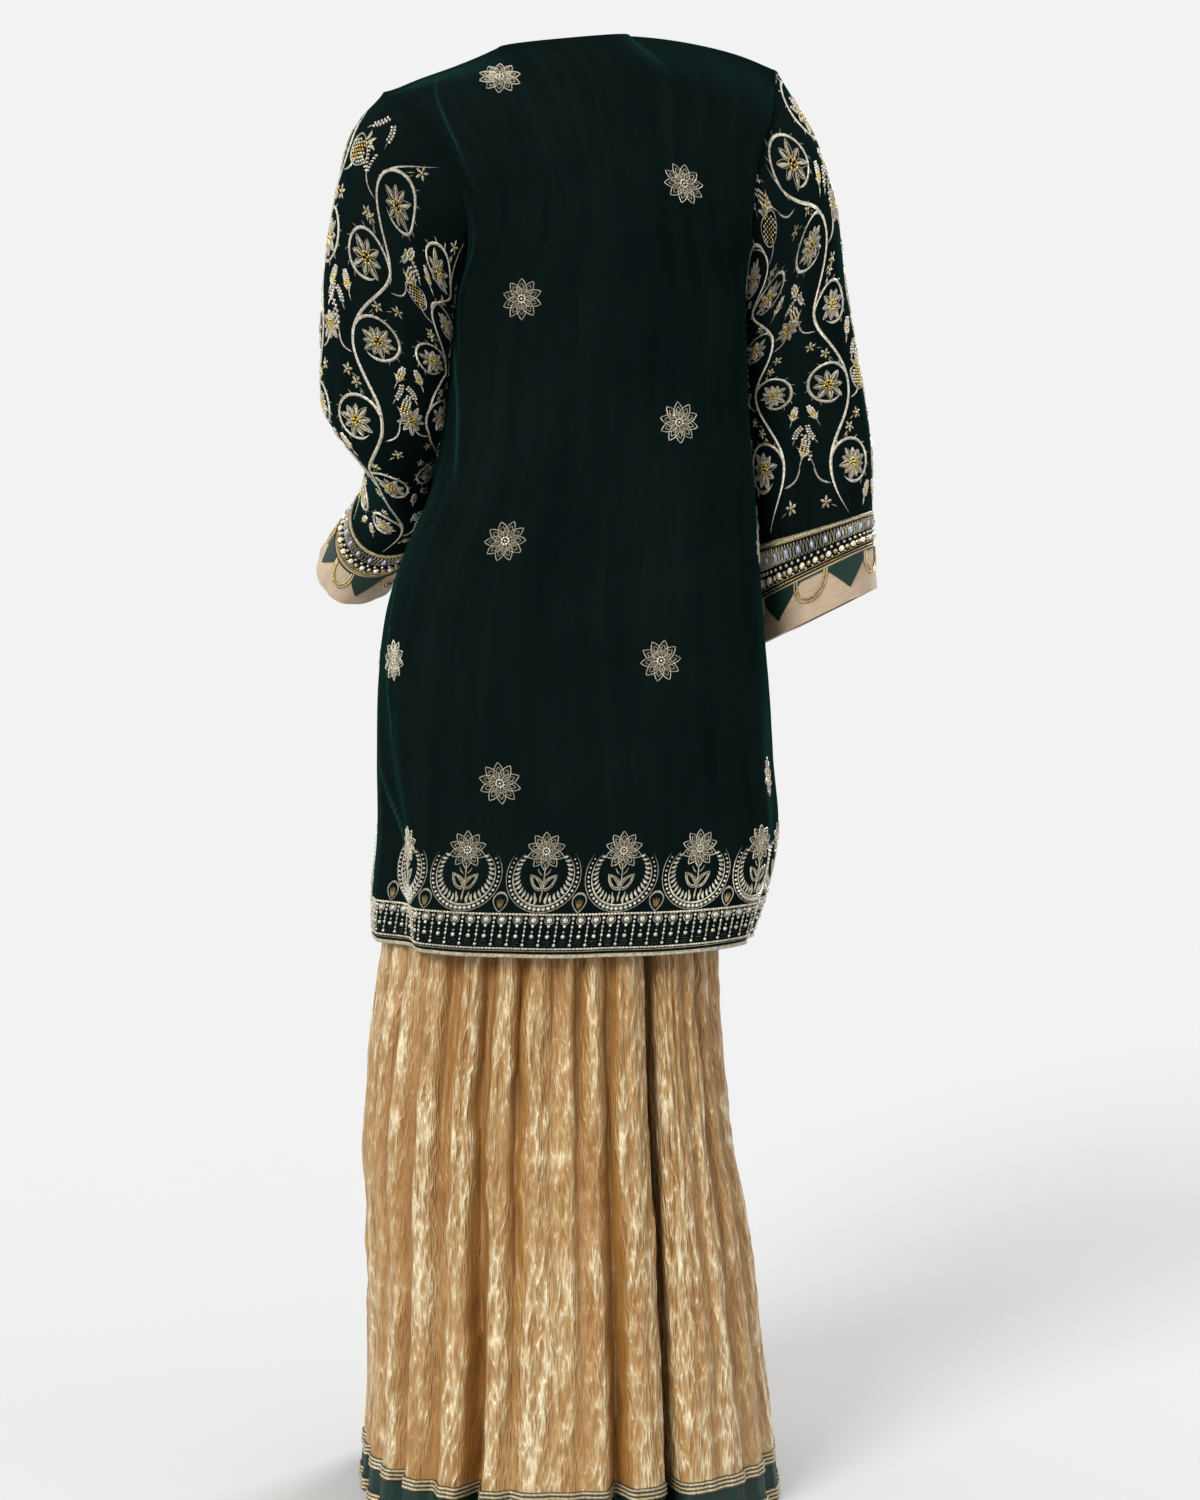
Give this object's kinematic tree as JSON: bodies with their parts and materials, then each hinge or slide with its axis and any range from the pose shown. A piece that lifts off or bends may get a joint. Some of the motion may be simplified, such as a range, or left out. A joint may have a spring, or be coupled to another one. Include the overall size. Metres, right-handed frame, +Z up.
{
  "type": "salwar suit as worn",
  "caption": "Velvet kurta with long wide sleeves over a very wide gathered tissue sharara, open at neck, cuffs and hems, in the hollow form it has when worn.",
  "frame": {"origin": "middle of the neck opening at the height of the shoulders, where the wearer's shoulders hold the suit up", "axes": "+Z up, the suit's length from hem to shoulders; the front faces -Y and the wearer's left is +X"},
  "size_m": [0.5564, 0.434, 1.4183],
  "materials": {
    "velvet": "dark bottle-green velvet with zari embroidery",
    "zari": "pale gold braid and piping",
    "cream silk": "cream raw silk",
    "green silk": "bottle-green silk",
    "gold tissue": "crinkled gold tissue, softly metallic"
  },
  "bodies": {
    "root": {"kurta_back": "velvet", "kurta_front": "velvet", "sleeve_left": "velvet", "sleeve_right": "velvet", "kurta_piping_back": "zari", "kurta_piping_front": "zari", "hem_trim_upper_left": "zari", "hem_trim_upper_right": "zari", "hem_trim_lower_left": "zari", "hem_trim_lower_right": "zari", "cuff_band_left": "cream silk", "cuff_band_right": "cream silk", "cuff_points_left": "green silk", "cuff_points_right": "green silk", "hem_band_left": "green silk", "hem_band_right": "green silk", "leg_left": "gold tissue", "leg_right": "gold tissue", "waistband": "gold tissue"}
  },
  "joints": []
}
